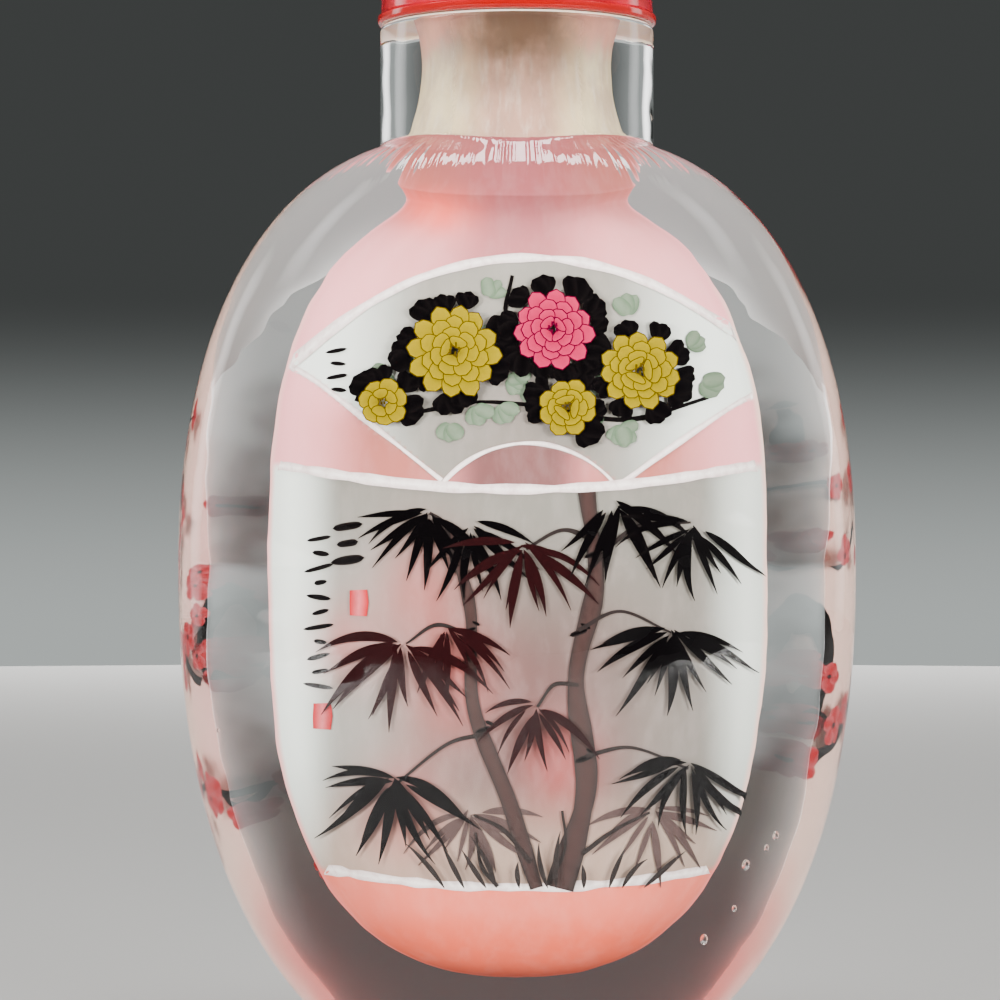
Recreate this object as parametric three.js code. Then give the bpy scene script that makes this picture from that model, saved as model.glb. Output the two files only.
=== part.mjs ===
// Inside-painted snuff bottle: a flattened oval glass bottle with a ground bore and cavity,
// a cork that plugs the bore and a domed red glass cap that rests on the rim.
// Millimetres, +Z up. The origin is the middle of the foot, the painted front faces -Y.

import * as THREE from 'three';
import { mergeVertices } from 'three/addons/utils/BufferGeometryUtils.js';

// Outside of the bottle
const bodyWidth = 52;
const bodyDepth = 29;
const bodyHeight = 70;
const bellyHeight = 38.2;
const footWidth = 19.6;
const footDepth = 13.6;
const neckDiameter = 21;
const neckLength = 9.6;
const neckFillet = 1;
const rimRound = 0.5;

// Inside of the bottle
const sideWall = 9.2;
const frontWall = 5;
const floorWall = 8.4;
const shoulderWall = 4.8;
const throatDiameter = 9.6;
const throatDepth = 3.3;
const mouthDiameter = 10.6;
const boreFootDiameter = 11.6;
const boreNarrowing = 0.6;
const boreFillet = 2;

// Stopper
const capDiameter = 21.4;
const capFlangeHeight = 0.7;
const capDomeHeight = 10.5;
const capStep = 0.25;
const capChamfer = 0.3;
const corkLength = 4.6;
const corkClearance = 0.3;
const corkChamfer = 0.4;

// Roundness of the outlines: 2 is an ellipse, and more is squarer
const planExponentBelly = 2.17;
const planExponentShoulder = 2.9;
const cavityPlanExponent = 3.2;
const widthAbove = { rise: 2.1, root: 2.9 };
const widthBelow = { rise: 2.3, root: 2.3 };
const depthAbove = { rise: 4.9, root: 4.5 };
const depthBelow = { rise: 3, root: 2.6 };
const cavityWidthAbove = { rise: 2.8, root: 2.5 };
const cavityDepthAbove = { rise: 4, root: 3 };
const cavityBelow = { rise: 2.6, root: 2.6 };

// Fineness
const bottleSides = 48;
const capSides = 48;
const corkSides = 24;
const bodyRings = 12;
const neckRings = 3;
const cavityRings = 9;
const boreRings = 6;
const domeRings = 10;

// Levels and radii worked out from the sizes
const rimHeight = bodyHeight + neckLength;
const neckRadius = neckDiameter / 2;
const throatHeight = rimHeight - throatDepth;
const cavityTop = bodyHeight - shoulderWall;
const cavityHalfWidth = bodyWidth / 2 - sideWall;
const cavityHalfDepth = bodyDepth / 2 - frontWall;

// Share of the half width that an outline keeps at a share of its height above or below the belly
function outlineShare(share, { rise, root }) {
  return (1 - Math.min(1, Math.abs(share)) ** rise) ** (1 / root);
}

// Share of its height at which an outline has narrowed to a given share of its half width
function narrowedAt(kept, { rise, root }) {
  return (1 - Math.min(0.99, kept) ** root) ** (1 / rise);
}

// Larger of two radii, with a round fillet where they are close
function filletedMax(a, b, fillet) {
  const near = Math.max(fillet - Math.abs(a - b), 0) / fillet;
  return Math.max(a, b) + near * near * fillet / 4;
}

// Radius of a rounded-oval section in one direction
function sectionRadius(angle, halfWidth, halfDepth, exponent) {
  const across = Math.abs(Math.cos(angle)) / Math.max(halfWidth, 1e-6);
  const deep = Math.abs(Math.sin(angle)) / Math.max(halfDepth, 1e-6);
  return (across ** exponent + deep ** exponent) ** (-1 / exponent);
}

// Outside of the bottle's body and neck
const riseAbove = (bodyHeight - bellyHeight) / narrowedAt(neckDiameter / bodyWidth, widthAbove);
const fallForWidth = bellyHeight / narrowedAt(footWidth / bodyWidth, widthBelow);
const fallForDepth = bellyHeight / narrowedAt(footDepth / bodyDepth, depthBelow);

function outerRadius(angle, height) {
  const over = height - bellyHeight;
  if (over < 0) {
    const halfWidth = bodyWidth / 2 * outlineShare(over / fallForWidth, widthBelow);
    const halfDepth = bodyDepth / 2 * outlineShare(over / fallForDepth, depthBelow);
    return sectionRadius(angle, halfWidth, halfDepth, planExponentBelly);
  }
  const share = Math.min(1, over / riseAbove);
  const exponent = THREE.MathUtils.lerp(planExponentBelly, planExponentShoulder, share);
  const halfWidth = bodyWidth / 2 * outlineShare(share, widthAbove);
  const halfDepth = bodyDepth / 2 * outlineShare(share, depthAbove);
  const body = sectionRadius(angle, halfWidth, halfDepth, exponent);
  return filletedMax(body, neckRadius, neckFillet);
}

// Ground bore of the neck, narrowest at the throat; it closes again below the cavity's shoulder
function boreRadius(height) {
  const level = Math.max(height, cavityTop);
  const upper = level > throatHeight;
  const wide = (upper ? mouthDiameter : boreFootDiameter) / 2;
  const span = upper ? throatDepth : throatHeight - bodyHeight;
  const share = (level - throatHeight) / span;
  const flared = throatDiameter / 2 + (wide - throatDiameter / 2) * share * share;
  return Math.max(0, flared - boreNarrowing * (level - height));
}

// Ground cavity, which opens out under the bore
function cavityRadius(angle, height) {
  const over = height - bellyHeight;
  const share = over / (over > 0 ? cavityTop - bellyHeight : bellyHeight - floorWall);
  const acrossShape = over > 0 ? cavityWidthAbove : cavityBelow;
  const deepShape = over > 0 ? cavityDepthAbove : cavityBelow;
  const halfWidth = cavityHalfWidth * outlineShare(share, acrossShape);
  const halfDepth = cavityHalfDepth * outlineShare(share, deepShape);
  const cavity = sectionRadius(angle, halfWidth, halfDepth, cavityPlanExponent);
  return over > 0 ? filletedMax(cavity, boreRadius(height), boreFillet) : cavity;
}

// Evenly turned steps from one level to another, close together towards the end
function levels(from, to, count) {
  return Array.from({ length: count }, (_, i) => {
    return from + (to - from) * Math.sin((i + 1) / count * Math.PI / 2);
  });
}

// Plain even steps from one level to another
function evenLevels(from, to, count) {
  return Array.from({ length: count }, (_, i) => from + (to - from) * (i + 1) / count);
}

// A ring is a level with a radius for each direction
function ring(height, radiusAt) {
  return { height, radiusAt };
}

// Closed solid through a stack of rings that starts and ends on the axis
function turnedSolid(rings, sides) {
  const profile = rings.map(({ height, radiusAt }) => new THREE.Vector2(radiusAt(0), height));
  profile[0].x = 0;
  profile[profile.length - 1].x = 0;
  const geometry = new THREE.LatheGeometry(profile, sides);
  const position = geometry.attributes.position;
  for (let side = 0; side <= sides; side++) {
    const turn = (side % sides) / sides * 2 * Math.PI;
    rings.forEach(({ height, radiusAt }, level) => {
      const across = radiusAt(0) * Math.cos(turn);
      const deep = radiusAt(Math.PI / 2) * Math.sin(turn);
      const angle = Math.atan2(deep, across);
      const onAxis = level === 0 || level === rings.length - 1;
      const radius = onAxis ? 0 : radiusAt(angle);
      const index = side * rings.length + level;
      position.setXYZ(index, radius * Math.cos(angle), radius * Math.sin(angle), height);
    });
  }
  geometry.deleteAttribute('normal');
  geometry.deleteAttribute('uv');
  const solid = mergeVertices(geometry, 1e-5);
  solid.computeVertexNormals();
  return solid;
}

function mesh(name, geometry, colour, roughness) {
  const material = new THREE.MeshStandardMaterial({ color: colour, roughness, metalness: 0 });
  const part = new THREE.Mesh(geometry, material);
  part.name = name;
  return part;
}

// Bottle: up the outside, over the rim, down the bore and round the cavity
function makeBottle() {
  const axis = () => 1;
  const below = levels(bellyHeight, 0, bodyRings).reverse();
  const above = levels(bellyHeight, bodyHeight + neckFillet / 2, bodyRings);
  const neck = evenLevels(bodyHeight + neckFillet / 2, rimHeight - rimRound, neckRings);
  const outside = [...below, bellyHeight, ...above, ...neck];
  const rimEdge = () => neckRadius - rimRound;
  const mouth = () => mouthDiameter / 2;
  const bore = evenLevels(rimHeight, cavityTop, boreRings);
  const cavityUpper = levels(bellyHeight, cavityTop, cavityRings).reverse().slice(1);
  const cavityLower = levels(bellyHeight, floorWall, cavityRings).slice(0, -1);
  const inside = [...bore, ...cavityUpper, bellyHeight, ...cavityLower];
  const rings = [
    ring(0, axis),
    ...outside.map((height) => ring(height, (angle) => outerRadius(angle, height))),
    ring(rimHeight, rimEdge),
    ring(rimHeight, mouth),
    ...inside.map((height) => ring(height, (angle) => cavityRadius(angle, height))),
    ring(floorWall, axis),
  ];
  return mesh('bottle', turnedSolid(rings, bottleSides), '#dcd6d3', 0.05);
}

// Cap: a thin flange on the rim with a low dome over it
function makeCap() {
  const capRadius = capDiameter / 2;
  const domeRadius = capRadius - capStep;
  const flangeTop = rimHeight + capFlangeHeight;
  const points = [
    [0, rimHeight],
    [capRadius - capChamfer, rimHeight],
    [capRadius, rimHeight + capChamfer],
    [capRadius, flangeTop],
    [domeRadius, flangeTop],
  ];
  for (let i = 1; i <= domeRings; i++) {
    const turn = i / domeRings * Math.PI / 2;
    points.push([domeRadius * Math.cos(turn), flangeTop + capDomeHeight * Math.sin(turn)]);
  }
  const rings = points.map(([radius, height]) => ring(height, () => radius));
  return mesh('stopper_cap', turnedSolid(rings, capSides), '#c4161f', 0.12);
}

// Cork: a plug that hangs in the throat from the cap's underside
function makeCork() {
  const corkRadius = throatDiameter / 2 - corkClearance;
  const corkFoot = rimHeight - corkLength;
  const points = [
    [0, corkFoot],
    [corkRadius - corkChamfer, corkFoot],
    [corkRadius, corkFoot + corkChamfer],
    [corkRadius, rimHeight],
    [0, rimHeight],
  ];
  const rings = points.map(([radius, height]) => ring(height, () => radius));
  return mesh('stopper_cork', turnedSolid(rings, corkSides), '#8a6f55', 0.9);
}

const snuffBottle = new THREE.Group();
snuffBottle.name = 'snuff_bottle';
snuffBottle.add(makeBottle(), makeCap(), makeCork());

export default snuffBottle;
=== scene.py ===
import math

import bpy
import numpy as np
from bpy.props import FloatProperty, FloatVectorProperty, PointerProperty
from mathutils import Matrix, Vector


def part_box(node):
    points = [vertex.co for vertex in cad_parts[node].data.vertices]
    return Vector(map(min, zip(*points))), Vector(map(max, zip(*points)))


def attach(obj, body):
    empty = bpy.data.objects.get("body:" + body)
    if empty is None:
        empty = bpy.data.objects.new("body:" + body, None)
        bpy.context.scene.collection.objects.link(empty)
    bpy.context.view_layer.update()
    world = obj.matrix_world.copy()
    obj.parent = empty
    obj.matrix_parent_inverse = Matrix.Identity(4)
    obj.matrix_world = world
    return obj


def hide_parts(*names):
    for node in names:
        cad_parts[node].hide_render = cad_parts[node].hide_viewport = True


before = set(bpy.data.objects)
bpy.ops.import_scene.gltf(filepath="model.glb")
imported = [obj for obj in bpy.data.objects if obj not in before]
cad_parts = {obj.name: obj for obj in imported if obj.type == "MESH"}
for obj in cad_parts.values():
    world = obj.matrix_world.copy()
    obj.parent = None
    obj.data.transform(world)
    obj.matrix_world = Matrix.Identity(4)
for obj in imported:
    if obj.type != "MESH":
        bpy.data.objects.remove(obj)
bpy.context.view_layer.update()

bl_info = {
    "name": "Inside-painted snuff bottle",
    "version": (1, 0, 0),
    "blender": (4, 5, 0),
    "location": "View3D > Sidebar > Snuff Bottle",
    "description": "Clear glass snuff bottle with an inside painting, a red cap and a cork",
    "category": "Object",
}

MM = 0.001
BODY = "root"
BOTTLE_LOW, BOTTLE_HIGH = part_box("bottle")
CAP_LOW, CAP_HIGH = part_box("stopper_cap")
CORK_LOW, CORK_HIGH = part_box("stopper_cork")

# Roundness of the outlines, as (rise, root): 2 is an ellipse, and more is squarer
PLAN_BELLY = 2.17
PLAN_SHOULDER = 2.9
PLAN_CAVITY = 3.2
WIDTH_ABOVE = (2.1, 2.9)
WIDTH_BELOW = (2.3, 2.3)
DEPTH_ABOVE = (4.9, 4.5)
DEPTH_BELOW = (3.0, 2.6)
CAVITY_WIDTH_ABOVE = (2.8, 2.5)
CAVITY_DEPTH_ABOVE = (4.0, 3.0)
CAVITY_BELOW = (2.6, 2.6)

# The paint lies on the glass side of the cavity's wall, coat over coat
WASH_LIFT = 0.05 * MM
FIRST_COAT = 0.09 * MM
COAT = 0.002 * MM
# Half width of the thinnest stroke, in millimetres
THINNEST = 0.015

# Faces of the painted wall: the front looks to -Y
FRONT = 1
BACK = -1

GLASS_IOR = 1.5
CLEAR = (1, 1, 1)

# Finishes of the bottle, in the order of its materials
POLISHED, GROUND, MATT_RIM = range(3)
# How far the rim stays under the cap
RIM_GAP = 0.03 * MM

# The camera looks level at the front; VIEW_WIDTH is how wide it sees at the bottle's middle
EYE_ACROSS = -1.3 * MM
EYE_DISTANCE = 268 * MM
EYE_HEIGHT = 43.2 * MM
VIEW_WIDTH = 76.9 * MM
# What the lamps look at, and the reach of the floor
AIM_HEIGHT = 42 * MM
FLOOR_RADIUS = 0.65

# Corners round each form, and the levels of the painted ground
BOTTLE_SIDES = 224
PAINT_SIDES = 260
PAINT_LEVELS = 220
CAP_SIDES = 160
BUBBLE_SIDES = 20
FLOOR_SIDES = 96


def node_radius(node, low, high):
    """Widest half width of a solid between two levels."""
    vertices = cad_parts[node].data.vertices
    return max(vertex.co.x for vertex in vertices if low <= vertex.co.z <= high)


def length(name, description, default):
    return FloatProperty(
        name=name, description=description, default=default, min=0, unit="LENGTH", subtype="DISTANCE"
    )


def colour(name, description, default):
    return FloatVectorProperty(
        name=name, description=description, default=default, min=0, max=1, subtype="COLOR"
    )


class SnuffBottleSizes(bpy.types.PropertyGroup):
    """Sizes of the bottle, its hollow and its stopper"""

    body_width: length("Body width", "Width of the glass", BOTTLE_HIGH.x - BOTTLE_LOW.x)
    body_depth: length("Body depth", "Front to back of the glass", BOTTLE_HIGH.y - BOTTLE_LOW.y)
    rim_height: length("Rim height", "Height of the neck's rim", BOTTLE_HIGH.z)
    body_height: length("Body height", "Height of the neck's root", 70 * MM)
    belly_height: length("Belly height", "Level of the greatest width", 38.2 * MM)
    foot_width: length("Foot width", "Width of the flat foot", 19.6 * MM)
    foot_depth: length("Foot depth", "Front to back of the flat foot", 13.6 * MM)
    neck_radius: length(
        "Neck radius", "Radius of the neck", node_radius("bottle", BOTTLE_HIGH.z - MM, BOTTLE_HIGH.z)
    )
    neck_fillet: length("Neck fillet", "Fillet between shoulder and neck", 1 * MM)
    rim_round: length("Rim round", "Round of the rim's outer edge", 0.5 * MM)
    side_wall: length("Side wall", "Glass beside the hollow", 9.2 * MM)
    front_wall: length("Front wall", "Glass before and behind the hollow", 5 * MM)
    floor_wall: length("Floor", "Glass under the hollow", 8.4 * MM)
    shoulder_wall: length("Shoulder wall", "Drop of the hollow's shoulder under the neck", 4.8 * MM)
    throat_diameter: length("Throat", "Narrowest width of the bore", 9.6 * MM)
    throat_depth: length("Throat depth", "Depth of the throat under the rim", 3.3 * MM)
    mouth_diameter: length("Mouth", "Width of the bore at the rim", 10.6 * MM)
    bore_foot_diameter: length("Bore foot", "Width of the bore at the neck's root", 11.6 * MM)
    bore_fillet: length("Bore fillet", "Fillet between bore and hollow", 2 * MM)
    cap_radius: length("Cap radius", "Radius of the cap's flange", CAP_HIGH.x)
    cap_top: length("Cap top", "Height of the dome's top", CAP_HIGH.z)
    flange_height: length("Flange height", "Height of the cap's flange", 0.7 * MM)
    flange_step: length("Flange step", "How far the flange stands out", 0.25 * MM)


class SnuffBottleColours(bpy.types.PropertyGroup):
    """Colours of the paint, glass and cork"""

    # Painted light and shade in the pink ground: rose is deeper in the middle, rose_pale paler towards
    # the sides
    rose: colour("Rose", "Pink ground in the middle, over the fan", (0.29, 0.075, 0.08))
    rose_pale: colour("Pale rose", "Pink ground towards the sides", (0.95, 0.37, 0.39))
    rose_warm: colour("Warm rose", "Pink ground beside the fan's ribs", (0.42, 0.125, 0.1))
    ember: colour("Ember", "Orange red under the neck", (0.95, 0.11, 0.065))
    salmon: colour("Salmon", "Orange pink of the bottom", (0.74, 0.1, 0.045))
    salmon_pale: colour("Pale salmon", "Pinker strip along the bottom's top", (0.85, 0.2, 0.14))
    panel: colour("Panel", "Grey of the panels", (0.24, 0.225, 0.19))
    # Painted light along the panels' sides, and on the left of the wide panel
    panel_painted_light: colour("Bright panel", "White along the panels' sides", (0.88, 0.95, 0.86))
    panel_warm: colour("Warm panel", "Pinkish grey in the panel's middle", (0.125, 0.066, 0.059))
    panel_low: colour("Low panel", "Pale strip along the wide panel's foot", (0.42, 0.29, 0.215))
    # Painted glow of red light that shines through from the back
    glow: colour("Glow", "Red that shines through from the back", (0.5, 0.03, 0.03))
    line: colour("Line", "White of the dividing lines", (0.95, 0.88, 0.82))
    wash_streak: colour("Wash streak", "Brush streaks in the washes", (0.9, 0.75, 0.7))
    cream: colour("Cream", "Ground of the back", (0.9, 0.62, 0.5))
    ink: colour("Ink", "Black ink", (0.0012, 0.0008, 0.001))
    ink_thin: colour("Thin ink", "Watered ink", (0.045, 0.034, 0.031))
    bark: colour("Bark", "Warm brown in the trunks", (0.05, 0.018, 0.015))
    ink_red: colour("Red ink", "Red brown in some of the leaves", (0.04, 0.006, 0.007))
    sage: colour("Sage", "Grey-green leaves", (0.1, 0.17, 0.095))
    yellow: colour("Yellow", "Yellow blossoms", (0.205, 0.152, 0.0))
    yellow_rim: colour("Yellow rim", "Petals' ends of the yellow blossoms", (0.28, 0.205, 0.0))
    yellow_deep: colour("Deep yellow", "Petals' roots of the yellow blossoms", (0.08, 0.055, 0.0))
    yellow_line: colour("Yellow's line", "Fine line round the yellow petals", (0.06, 0.036, 0.0))
    pink: colour("Pink", "Pink blossoms", (0.34, 0.001, 0.034))
    pink_rim: colour("Pink rim", "Petals' ends of the pink blossom", (0.5, 0.03, 0.1))
    pink_deep: colour("Deep pink", "Petals' roots of the pink blossom", (0.13, 0.0, 0.02))
    pink_line: colour("Pink's line", "Fine line round the pink petals", (0.07, 0.0, 0.012))
    red: colour("Red", "Red blossoms and marks", (0.42, 0.006, 0.012))
    cap: colour("Cap", "Red glass of the cap", (0.24, 0.0, 0.005))
    # Painted glow of light along the cap's flange
    cap_painted_glow: colour("Cap glow", "Light red at the cap's thin edge", (0.25, 0.0, 0.0))
    # Lighter swirls of the glass, which also stand in for painted pinkish highlights
    cap_swirl_and_sheen: colour("Cap swirl", "Lighter red in the cap's glass", (0.45, 0.004, 0.022))
    cork: colour("Cork", "Cork of the stopper", (0.22, 0.13, 0.07))
    cork_pits: colour("Cork pits", "Dark streaks in the cork", (0.06, 0.035, 0.02))
    # Painted light and shade in the bore: brighter and creamier at its sides, darker and pinker in the
    # middle where the pink paint shows through
    frost: colour("Frost", "Ground glass at the bore's sides", (1.0, 0.84, 0.46))
    frost_shaded_middle: colour("Rosy frost", "Ground glass in the bore's middle", (0.66, 0.38, 0.27))
    frost_worn: colour("Worn frost", "Darker places in the bore's ground glass", (0.44, 0.27, 0.2))
    frost_bright: colour("Bright frost", "Fine scratches in the bore", (1.0, 0.9, 0.74))
    # Painted reflection of the cap's red light
    frost_cap_reflection: colour("Red frost", "Cap's red in the bore's upper corners", (0.8, 0.2, 0.14))
    frost_brown: colour("Brown frost", "Cork's shadow in the bore", (0.07, 0.04, 0.022))
    rim: colour("Rim", "Ground glass of the rim", (0.9, 0.85, 0.76))
    floor: colour("Floor", "Floor", (0.29, 0.286, 0.276))


def outline_share(share, shape):
    """Share of the half width that an outline keeps at a share of its height from the belly."""
    rise, root = shape
    return (1 - np.clip(np.abs(share), 0, 1) ** rise) ** (1 / root)


def narrowed_at(kept, shape):
    """Share of its height at which an outline has narrowed to a given share."""
    rise, root = shape
    return (1 - kept ** root) ** (1 / rise)


def filleted_max(first, second, fillet):
    """Larger of two radii, with a round fillet where they are close."""
    near = np.maximum(fillet - np.abs(first - second), 0) / fillet
    return np.maximum(first, second) + near * near * fillet / 4


def section_radius(angle, half_width, half_depth, exponent):
    """Radius of a rounded-oval section in one direction."""
    tiny = 1e-9
    across = np.abs(np.cos(angle)) / np.maximum(half_width, tiny)
    deep = np.abs(np.sin(angle)) / np.maximum(half_depth, tiny)
    return (across ** exponent + deep ** exponent) ** (-1 / exponent)


class BottleForm:
    """The glass bottle's outside and hollow, as radii by angle and height, in metres."""

    def __init__(self, sizes):
        self.sizes = sizes
        above_belly = sizes.body_height - sizes.belly_height
        neck_share = 2 * sizes.neck_radius / sizes.body_width
        self.rise_above = above_belly / narrowed_at(neck_share, WIDTH_ABOVE)
        foot_share = sizes.foot_width / sizes.body_width
        self.fall_for_width = sizes.belly_height / narrowed_at(foot_share, WIDTH_BELOW)
        foot_share = sizes.foot_depth / sizes.body_depth
        self.fall_for_depth = sizes.belly_height / narrowed_at(foot_share, DEPTH_BELOW)
        self.throat_height = sizes.rim_height - sizes.throat_depth
        self.cavity_top = sizes.body_height - sizes.shoulder_wall
        self.cavity_half_width = sizes.body_width / 2 - sizes.side_wall
        self.cavity_half_depth = sizes.body_depth / 2 - sizes.front_wall

    def outside(self, angle, height):
        """Radius of the polished outside."""
        sizes = self.sizes
        over = height - sizes.belly_height
        if over < 0:
            half_width = sizes.body_width / 2 * outline_share(over / self.fall_for_width, WIDTH_BELOW)
            half_depth = sizes.body_depth / 2 * outline_share(over / self.fall_for_depth, DEPTH_BELOW)
            return section_radius(angle, half_width, half_depth, PLAN_BELLY)
        share = min(1, over / self.rise_above)
        exponent = PLAN_BELLY + (PLAN_SHOULDER - PLAN_BELLY) * share
        half_width = sizes.body_width / 2 * outline_share(share, WIDTH_ABOVE)
        half_depth = sizes.body_depth / 2 * outline_share(share, DEPTH_ABOVE)
        body = section_radius(angle, half_width, half_depth, exponent)
        return filleted_max(body, sizes.neck_radius, sizes.neck_fillet)

    def bore(self, height):
        """Radius of the ground bore, narrowest at the throat."""
        sizes = self.sizes
        level = max(height, self.cavity_top)
        upper = level > self.throat_height
        wide = (sizes.mouth_diameter if upper else sizes.bore_foot_diameter) / 2
        span = sizes.throat_depth if upper else self.throat_height - sizes.body_height
        share = (level - self.throat_height) / span
        flared = sizes.throat_diameter / 2 + (wide - sizes.throat_diameter / 2) * share ** 2
        narrowing = 0.6
        return max(0, flared - narrowing * (level - height))

    def cavity_halves(self, height):
        """Half width and half depth of the hollow's own outline."""
        over = height - self.sizes.belly_height
        above = over > 0
        reach = np.where(above, self.cavity_top, self.sizes.floor_wall) - self.sizes.belly_height
        share = over / reach
        across = np.where(
            above, outline_share(share, CAVITY_WIDTH_ABOVE), outline_share(share, CAVITY_BELOW)
        )
        deep = np.where(
            above, outline_share(share, CAVITY_DEPTH_ABOVE), outline_share(share, CAVITY_BELOW)
        )
        return self.cavity_half_width * across, self.cavity_half_depth * deep

    def cavity(self, angle, height):
        """Radius of the ground hollow."""
        half_width, half_depth = self.cavity_halves(height)
        radius = section_radius(angle, half_width, half_depth, PLAN_CAVITY)
        if height > self.sizes.belly_height:
            return filleted_max(radius, self.bore(height), self.sizes.bore_fillet)
        return radius

    def wall_points(self, face, across, height, lift):
        """Points of the painted wall on the front or back, lifted into the glass."""
        half_width, half_depth = self.cavity_halves(height)
        limit = 0.9999
        share = np.clip(np.abs(across) / (half_width + lift), 0, limit)
        deep = (half_depth + lift) * (1 - share ** PLAN_CAVITY) ** (1 / PLAN_CAVITY)
        reach = np.sign(across) * share * (half_width + lift)
        return np.stack([face * reach, -face * deep, height], axis=-1)


def sine_levels(start, end, count):
    """Levels from one height to another, closer together towards the end."""
    turns = np.arange(1, count + 1) / count * math.pi / 2
    return list(start + (end - start) * np.sin(turns))


def ring_points(radius_at, height, sides):
    """One level of a turned form, its corners spread evenly round an oval."""
    turns = np.arange(sides) / sides * 2 * math.pi
    across = float(radius_at(0.0))
    deep = float(radius_at(math.pi / 2))
    angles = np.arctan2(deep * np.sin(turns), across * np.cos(turns))
    radii = radius_at(angles) * np.ones(sides)
    return np.stack([radii * np.cos(angles), radii * np.sin(angles), np.full(sides, height)], axis=1)


def form_rings(radius_at, heights, sides):
    """Levels of a turned form whose radius changes with the angle and the height."""
    return [ring_points(lambda angle: radius_at(angle, height), height, sides) for height in heights]


def round_rings(profile, sides):
    """Round levels of a turned form, from a profile of radii and heights."""
    return [ring_points(lambda angle: radius, height, sides) for radius, height in profile]


def oval_arc(middle, wide, high, start, end, count):
    """Profile along an oval's edge, as radii and heights, from one turn to another."""
    turns = np.linspace(start, end, count)
    return list(zip(middle[0] + wide * np.cos(turns), middle[1] + high * np.sin(turns)))


def ring_faces(rings, sides, first=0):
    """Quads between neighbouring rings."""
    level, side = np.meshgrid(np.arange(rings - 1), np.arange(sides), indexing="ij")
    here = first + level * sides + side
    beside = first + level * sides + (side + 1) % sides
    return np.stack([here, beside, beside + sides, here + sides], axis=-1).reshape(-1, 4).tolist()


def fan_faces(first, hub, sides, over=False):
    """Triangles between a ring and a point under it, or over it."""
    faces = []
    for side in range(sides):
        here = first + side
        beside = first + (side + 1) % sides
        faces.append([here, beside, hub] if over else [beside, here, hub])
    return faces


def add_mesh(name, points, faces, smooth=True):
    """Object with a mesh of these points and faces."""
    mesh = bpy.data.meshes.new(name)
    mesh.from_pydata(np.asarray(points).tolist(), [], faces)
    if smooth:
        mesh.shade_smooth()
    piece = bpy.data.objects.new(name, mesh)
    bpy.context.scene.collection.objects.link(piece)
    return piece


def closed_turning(name, rings, sides, slots=None):
    """Solid of rings whose first and last are closed by a fan of triangles."""
    last = (len(rings) - 1) * sides
    hub = last + sides
    starts = fan_faces(0, hub, sides)
    ends = fan_faces(last, hub + 1, sides, over=True)
    middles = [rings[0].mean(axis=0), rings[-1].mean(axis=0)]
    faces = ring_faces(len(rings), sides) + starts + ends
    piece = add_mesh(name, np.concatenate([*rings, middles]), faces)
    if slots is not None:
        rows = np.repeat([*slots, slots[0], slots[-1]], sides).astype(np.int32)
        piece.data.polygons.foreach_set("material_index", rows)
    return piece


def finish_piece(piece, slot, *materials):
    """Gives a piece its materials and the body that it rides on."""
    for material in materials:
        piece.data.materials.append(material)
    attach(piece, BODY)


def new_material(name):
    material = bpy.data.materials.new(name)
    material.use_nodes = True
    tree = material.node_tree
    return material, tree, tree.nodes["Principled BSDF"]


def opaque(colour):
    """A plain colour with full alpha; a socket stays as it is."""
    return colour if isinstance(colour, bpy.types.NodeSocket) else (*colour, 1)


def feed(tree, socket, value):
    """Sets a socket to a plain value, or links another socket to it."""
    if isinstance(value, bpy.types.NodeSocket):
        tree.links.new(value, socket)
    else:
        socket.default_value = value


def feed_all(tree, node, **values):
    """Feeds a node's inputs by their names, with "_" for a space."""
    for label, value in values.items():
        feed(tree, node.inputs[label.replace("_", " ")], value)


def node_of(tree, kind, operation, first, second):
    """Node that works out something from two values."""
    node = tree.nodes.new(kind)
    node.operation = operation
    feed(tree, node.inputs[0], first)
    feed(tree, node.inputs[1], second)
    return node.outputs[0]


def maths(tree, operation, first, second=0.0):
    return node_of(tree, "ShaderNodeMath", operation, first, second)


def vector_maths(tree, operation, first, second=(0.0, 0.0, 0.0)):
    return node_of(tree, "ShaderNodeVectorMath", operation, first, second)


def ramp(tree, value, low, high, start=0.0, end=1.0):
    """Smooth change from start to end, as a value goes from low to high."""
    node = tree.nodes.new("ShaderNodeMapRange")
    node.interpolation_type = "SMOOTHSTEP"
    feed_all(tree, node, Value=value, From_Min=low, From_Max=high, To_Min=start, To_Max=end)
    return node.outputs["Result"]


def mixed(tree, share, first, second, kind="RGBA"):
    """Colour or value between two, by a share."""
    node = tree.nodes.new("ShaderNodeMix")
    node.data_type = kind
    feed_all(tree, node, Factor=share, A=first, B=second)
    return node.outputs["Result"]


def surface_place(tree):
    """Place on the object, as a vector in metres."""
    return tree.nodes.new("ShaderNodeTexCoord").outputs["Object"]


def parts_of(tree, vector):
    """X, Y and Z of a vector."""
    parts = tree.nodes.new("ShaderNodeSeparateXYZ")
    feed(tree, parts.inputs[0], vector)
    return parts.outputs


def noise(tree, place, grain, detail, roughness=0.5):
    node = tree.nodes.new("ShaderNodeTexNoise")
    feed_all(tree, node, Vector=place, Scale=grain, Detail=detail, Roughness=roughness)
    return node.outputs["Fac"]


def noise_field(tree, grain, along, detail, roughness=0.5):
    """Noise that is drawn out where along is small."""
    place = vector_maths(tree, "MULTIPLY", surface_place(tree), along)
    return noise(tree, place, grain, detail, roughness)


def noise_round(tree, grain):
    """Noise that changes only with the direction round the upright axis."""
    flat = vector_maths(tree, "MULTIPLY", surface_place(tree), (1.0, 1.0, 0.0))
    return noise(tree, vector_maths(tree, "NORMALIZE", flat), grain, 1.0)


def add_bump(tree, shader, height, distance, strength=1.0):
    """Gives a shader the relief of a height field."""
    bump = tree.nodes.new("ShaderNodeBump")
    feed_all(tree, bump, Strength=strength, Distance=distance, Height=height)
    feed(tree, shader.inputs["Normal"], bump.outputs["Normal"])


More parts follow.
